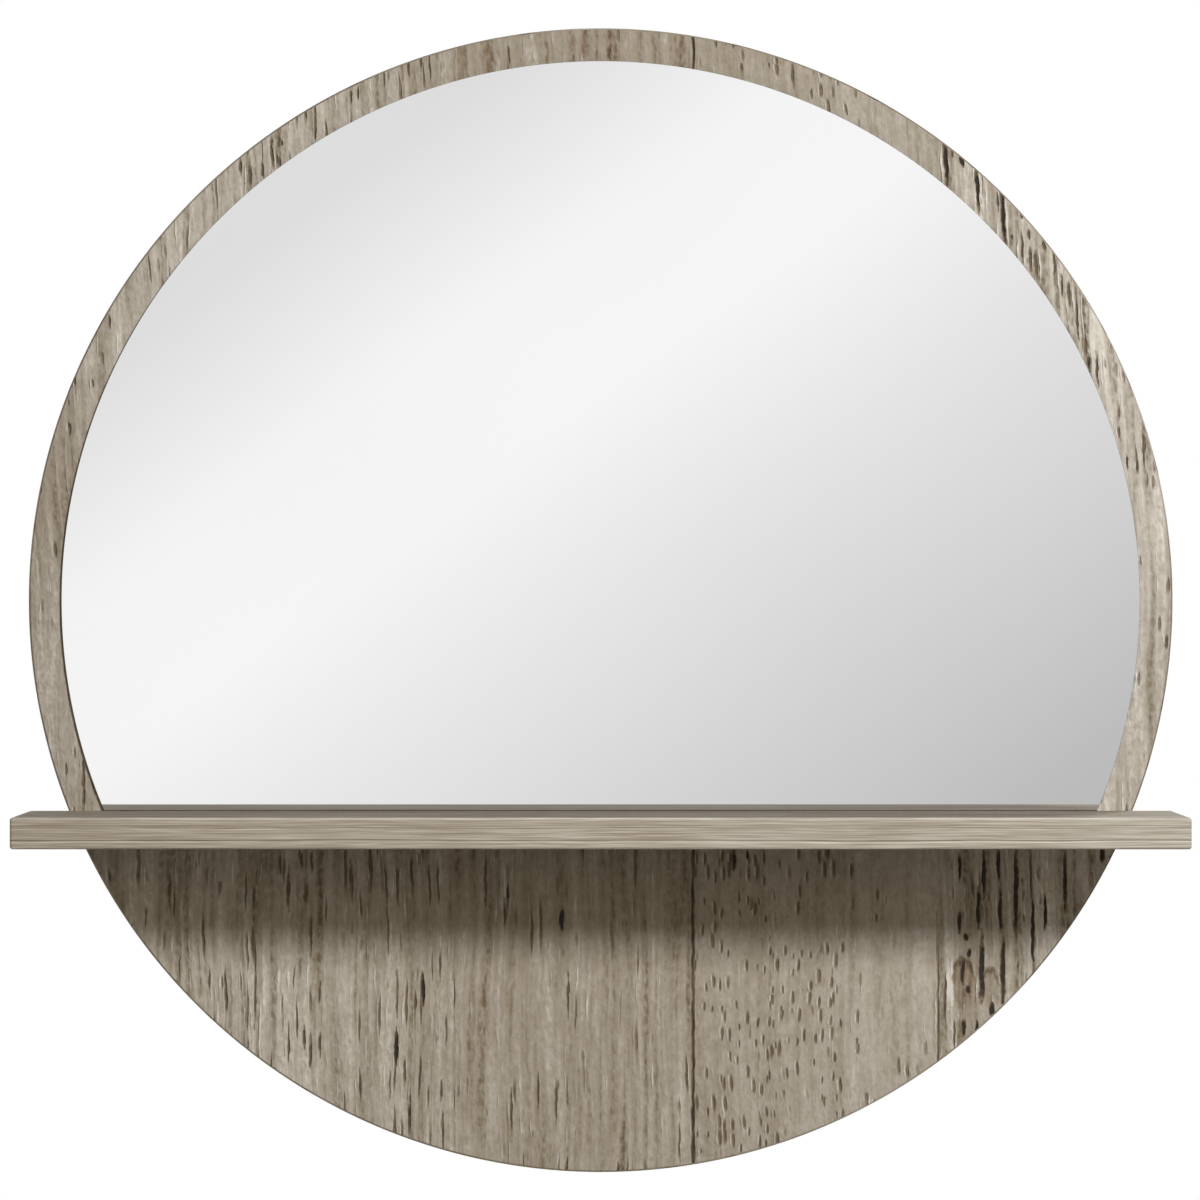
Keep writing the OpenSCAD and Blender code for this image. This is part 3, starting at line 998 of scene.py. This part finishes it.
# Painted highlight along the rounded top edge, where the key light catches it
painted_highlight = add(
    tree,
    "MapRange",
    {
        "Value": axes.outputs["Z"],
        "From Min": SHELF_TOP_Z / MM - PAINTED_HIGHLIGHT_EDGE[0],
        "From Max": SHELF_TOP_Z / MM - PAINTED_HIGHLIGHT_EDGE[1],
        "To Max": PAINTED_HIGHLIGHT_PALER,
    },
)
tone = add(tree, "Math", {0: tone, 1: painted_highlight}, operation="ADD")
for line_drop, half_w, depth in BAND_LINES:
    off_line = add(tree, "Math", {0: level, 1: SHELF_TOP_Z / MM - line_drop}, operation="SUBTRACT")
    off_line = add(tree, "Math", {0: off_line}, operation="ABSOLUTE")
    line = add(
        tree,
        "MapRange",
        {"Value": off_line, "From Min": 0.3 * half_w, "From Max": half_w, "To Min": depth, "To Max": 0.0},
    )
    tone = add(tree, "Math", {0: tone, 1: line}, operation="ADD")
print_wood(tree, shader, tone, emboss_mm=0.25)

board_low = (-SHELF_HALF_W + SHELF_BAND_T, SHELF_FRONT_Y + SHELF_BAND_T, SHELF_BOTTOM_Z)
board_high = (SHELF_HALF_W - SHELF_BAND_T, SHELF_BACK_Y, SHELF_TOP_Z)
shelf = bar("shelf_core", board_low, board_high, joined=(LEFT, RIGHT, FRONT, BACK))
shelf.data.materials.append(foil)
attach(shelf, "root")
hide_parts("shelf_board")

front_band = bar(
    "shelf_band_front",
    (-SHELF_HALF_W, SHELF_FRONT_Y, SHELF_BOTTOM_Z),
    (SHELF_HALF_W, SHELF_FRONT_Y + SHELF_BAND_T, SHELF_TOP_Z),
    joined=(BACK,),
)
end_bands = []
for name, inner_x, side in (("left", board_low[0], LEFT), ("right", board_high[0], RIGHT)):
    outer_x = inner_x + side[1] * SHELF_BAND_T
    end_bands.append(
        bar(
            f"shelf_band_{name}",
            (min(inner_x, outer_x), SHELF_FRONT_Y + SHELF_BAND_T, SHELF_BOTTOM_Z),
            (max(inner_x, outer_x), SHELF_BACK_Y, SHELF_TOP_Z),
            joined=(FRONT, BACK, RIGHT if side == LEFT else LEFT),
        )
    )
stood_for = ("shelf_front_band", "shelf_end_band_left", "shelf_end_band_right")
for piece, node in zip([front_band, *end_bands], stood_for):
    piece.data.materials.append(edging)
    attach(piece, "root")
    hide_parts(node)


# ---------------------------------------------------------------------------------------------
# Shelf fixings: three beech dowels glued half into the board, and four countersunk screws driven
# from the back. The CAD solids are shown, with the screws' edges broken as plating leaves them.

BEECH_PALE = "#dcc097"
BEECH_DARK = "#b8905f"
ZINC_PALE = "#d2d1c8"
ZINC_DARK = "#9d9b90"
PLATED_EDGE = 0.08 * MM

# Beech, turned: pale tan with short fine grain along the dowel.
beech, tree, shader = new_material("BeechTurned", **{"Roughness": 0.7, "IOR": 1.5})
grain = speckle(tree, place_in_mm(tree), (0.8, 14.0, 0.8))
tan = add(
    tree,
    "ValToRGB",
    {"Fac": grain},
    stops=((0.3, linear(BEECH_DARK)), (0.65, linear(BEECH_PALE))),
)
tree.links.new(tan.outputs["Color"], shader.inputs["Base Color"])
dress(["shelf_dowels"], beech)


def zinc_plated(name, pale, dark, patch_mm, scratch_mm, roughness):
    """Steel plated with zinc: patches of paler and duller metal, and fine scratches."""
    material, tree, shader = new_material(name, **{"Metallic": 1.0})
    place = place_in_mm(tree)
    patches = speckle(tree, place, (patch_mm, patch_mm, patch_mm))
    metal = add(
        tree,
        "ValToRGB",
        {"Fac": patches},
        stops=((0.3, linear(dark)), (0.7, linear(pale))),
    )
    dull = add(
        tree,
        "MapRange",
        {"Value": patches, "To Min": roughness + 0.12, "To Max": roughness - 0.12},
    )
    scratches = speckle(tree, place, scratch_mm)
    scratched = add(tree, "Bump", {"Height": scratches, "Strength": 0.25, "Distance": 0.05 * MM})
    tree.links.new(metal.outputs["Color"], shader.inputs["Base Color"])
    tree.links.new(dull.outputs[0], shader.inputs["Roughness"])
    tree.links.new(scratched.outputs["Normal"], shader.inputs["Normal"])
    return material


def break_edges(names, width):
    """Eases the sharp edges of CAD nodes by modifiers, so that they catch the light."""
    for name in names:
        joined = nodes[name].modifiers.new("joined", "WELD")
        joined.merge_threshold = 0.001 * MM
        eased = nodes[name].modifiers.new("eased", "BEVEL")
        eased.width = width
        eased.segments = 2
        eased.limit_method = "ANGLE"
        eased.angle_limit = math.radians(40)


# Steel, zinc-plated: a warm pale metal with a soft shine.
screw_zinc = zinc_plated("SteelZincPlated", ZINC_PALE, ZINC_DARK, 2.5, (1.0, 1.0, 1.0), 0.34)
dress(["shelf_screws", "hanger_screws"], screw_zinc)
break_edges(["shelf_screws", "hanger_screws"], PLATED_EDGE)


# ---------------------------------------------------------------------------------------------
# Hangers: two keyhole plates stamped from 1.5 mm steel, zinc-plated, let in flush with the back
# and each held by two small countersunk screws.

PLATE_PALE = "#c3c8cb"
PLATE_DARK = "#9298a0"
STAMPED_EDGE = 0.2 * MM

# Steel sheet, stamped and zinc-plated: cooler than the screws, with marks drawn along the plate.
plate_zinc = zinc_plated("SteelSheetStamped", PLATE_PALE, PLATE_DARK, 6.0, (0.6, 0.6, 14.0), 0.38)
dress(["hanger_plate_left", "hanger_plate_right"], plate_zinc)
break_edges(["hanger_plate_left", "hanger_plate_right"], STAMPED_EDGE)


# ---------------------------------------------------------------------------------------------
# Studio: a pale floor well below the mirror, a softbox near by in front, high on the right, a weak
# and very broad one lower down on the left, and one behind, so that the back can be looked at too.

FLOOR_Z = -1.45
FLOOR_R = 2.6
FLOOR_FADE_FROM = 1.3
FLOOR_FADE_TO = 0.97 * FLOOR_R
FLOOR_PALE = "#ebe6dc"
FLOOR_SHADE = "#e8e3d9"
FLOOR_GLOW = "#fffdf9"
FLOOR_LIFT = 0.32
# The lamps: angles and widths in degrees, distances in metres
KEY_AZIMUTH = 23.0
KEY_ELEVATION = 23.35
KEY_STRENGTH = 3.05
KEY_WIDTH = 11.5
KEY_DISTANCE = 2.3
FRONT_AZIMUTH = -20.0
FRONT_ELEVATION = 6.2
FRONT_STRENGTH = 0.30
FRONT_WIDTH = 24.0
FRONT_DISTANCE = 2.0
FRONT_WARMTH = (1.0, 0.90, 0.72)  # linear
REAR_AZIMUTH = 150.0
REAR_ELEVATION = 15.0
REAR_STRENGTH = 2.9
REAR_WIDTH = 20.0


def softbox(name, azimuth, elevation, strength, width, distance=None):
    """A lamp that faces the board: azimuth 0 is straight in front, 90 on the right.

    The strength is that of its light at the board, the width is in degrees, and without a distance
    it is so far away that its light is even."""
    lamp = bpy.data.lights.new(name, "AREA" if distance else "SUN")
    holder = bpy.data.objects.new(name, lamp)
    holder.rotation_euler = (math.radians(90 - elevation), 0.0, math.radians(azimuth))
    if distance:
        lamp.shape = "DISK"
        lamp.size = 2 * distance * math.tan(math.radians(width / 2))
        lamp.energy = strength * math.pi * distance**2
        level = distance * math.cos(math.radians(elevation))
        holder.location = (
            level * math.sin(math.radians(azimuth)),
            -level * math.cos(math.radians(azimuth)),
            distance * math.sin(math.radians(elevation)),
        )
        holder.visible_camera = False
    else:
        lamp.energy = strength
        lamp.angle = math.radians(width)
    bpy.context.scene.collection.objects.link(holder)
    return holder


key = softbox("key_softbox", KEY_AZIMUTH, KEY_ELEVATION, KEY_STRENGTH, KEY_WIDTH, KEY_DISTANCE)
key.visible_glossy = False
front = softbox(
    "front_softbox", FRONT_AZIMUTH, FRONT_ELEVATION, FRONT_STRENGTH, FRONT_WIDTH, FRONT_DISTANCE
)
front.visible_glossy = False
front.data.color = FRONT_WARMTH
softbox("rear_softbox", REAR_AZIMUTH, REAR_ELEVATION, REAR_STRENGTH, REAR_WIDTH)

# Painted studio floor, rolled: pale and matt, fading into the white round it before it ends. To the
# camera and in the mirror it glows, so that it is paler than the object's light would make it.
floor_paint, tree, shader = new_material(
    "FloorPaintRolled", **{"Roughness": 0.8, "Emission Color": linear(FLOOR_GLOW)}
)
path = add(tree, "LightPath")
seen = add(
    tree,
    "Math",
    {0: path.outputs["Is Camera Ray"], 1: path.outputs["Is Glossy Ray"]},
    operation="MAXIMUM",
)
seen = add(tree, "Math", {0: seen, 1: FLOOR_LIFT}, operation="MULTIPLY")
tree.links.new(seen.outputs[0], shader.inputs["Emission Strength"])
place = place_in_mm(tree)
roller = speckle(tree, place, (25.0, 25.0, 25.0))
pale = add(
    tree,
    "ValToRGB",
    {"Fac": roller},
    stops=((0.3, linear(FLOOR_SHADE)), (0.7, linear(FLOOR_PALE))),
)
tree.links.new(pale.outputs["Color"], shader.inputs["Base Color"])
reach = add(tree, "VectorMath", {0: place, 1: (1.0, 1.0, 0.0)}, operation="MULTIPLY")
reach = add(tree, "VectorMath", {0: reach}, operation="LENGTH")
gone = add(
    tree,
    "MapRange",
    {
        "Value": reach.outputs["Value"],
        "From Min": FLOOR_FADE_FROM / MM,
        "From Max": FLOOR_FADE_TO / MM,
    },
)
nothing = add(tree, "BsdfTransparent")
faded = add(tree, "MixShader", {0: gone, 1: shader, 2: nothing})
output = next(n for n in tree.nodes if n.type == "OUTPUT_MATERIAL")
tree.links.new(faded.outputs[0], output.inputs["Surface"])

floor_shape = bmesh.new()
bmesh.ops.create_circle(floor_shape, cap_ends=True, radius=FLOOR_R, segments=96)
bmesh.ops.translate(floor_shape, verts=floor_shape.verts, vec=(0.0, 0.0, FLOOR_Z))
floor_mesh = bpy.data.meshes.new("studio_floor")
floor_shape.to_mesh(floor_mesh)
floor_shape.free()
floor_mesh.materials.append(floor_paint)
floor = bpy.data.objects.new("studio_floor", floor_mesh)
bpy.context.scene.collection.objects.link(floor)

# The world is white to the camera, a dim warm fill to the object, and to mirrors a studio wall that
# is brightest just above the middle and darker towards the lower right.
WARM_FILL = (0.075, 0.062, 0.045, 1.0)  # linear, and so dim that the shelf's shadow stays deep
GLOW_AXIS = (0.6, 0.0, -0.8)
# How far along that axis a direction points, and what the wall looks like there
GLOW_STOPS = (
    (-0.5, "#d8d8d8"),
    (-0.083, "#e2e2e2"),
    (-0.052, "#fafafa"),
    (-0.028, "#fbfbfb"),
    (0.0, "#ebebeb"),
    (0.072, "#bfbfbf"),
    (0.5, "#a8a8a8"),
)
world = bpy.data.worlds.new("studio_white")
bpy.context.scene.world = world
world.use_nodes = True
tree = world.node_tree
tree.nodes.clear()
path = add(tree, "LightPath")
direction = add(tree, "TexCoord")
slant = add(
    tree,
    "VectorMath",
    {0: direction.outputs["Generated"], 1: GLOW_AXIS},
    operation="DOT_PRODUCT",
)
ramp_place = add(tree, "Math", {0: slant.outputs["Value"], 1: 0.5}, operation="ADD")
glow = add(
    tree,
    "ValToRGB",
    {"Fac": ramp_place},
    stops=[(0.5 + at, linear(code)) for at, code in GLOW_STOPS],
)
unscattered = add(tree, "Math", {0: path.outputs["Diffuse Depth"], 1: 0.5}, operation="LESS_THAN")
shiny = add(
    tree,
    "Math",
    {0: path.outputs["Is Glossy Ray"], 1: path.outputs["Is Transmission Ray"]},
    operation="MAXIMUM",
)
shiny = add(tree, "Math", {0: shiny, 1: unscattered}, operation="MULTIPLY")
seen = add(
    tree,
    "Mix",
    {0: shiny, 6: WARM_FILL, 7: glow.outputs["Color"]},
    data_type="RGBA",
)
seen = add(
    tree,
    "Mix",
    {0: path.outputs["Is Camera Ray"], 6: seen.outputs[2], 7: (1.0, 1.0, 1.0, 1.0)},
    data_type="RGBA",
)
background = add(tree, "Background", {"Color": seen.outputs[2], "Strength": 1.0})
add(tree, "OutputWorld", {"Surface": background})
bpy.context.scene.view_settings.view_transform = "Standard"


# ---------------------------------------------------------------------------------------------
# Camera: straight in front, level with the middle of the board, as the photograph was taken.

CAMERA_PLACE = (-0.00037, -3.1676, 0.0001)
CAMERA_LENS = 177.25

camera_data = bpy.data.cameras.new("camera")
camera_data.sensor_width = 36.0
camera_data.lens = CAMERA_LENS
camera = bpy.data.objects.new("camera", camera_data)
camera.location = CAMERA_PLACE
camera.rotation_euler = (math.radians(90), 0.0, 0.0)
bpy.context.scene.collection.objects.link(camera)
bpy.context.scene.camera = camera
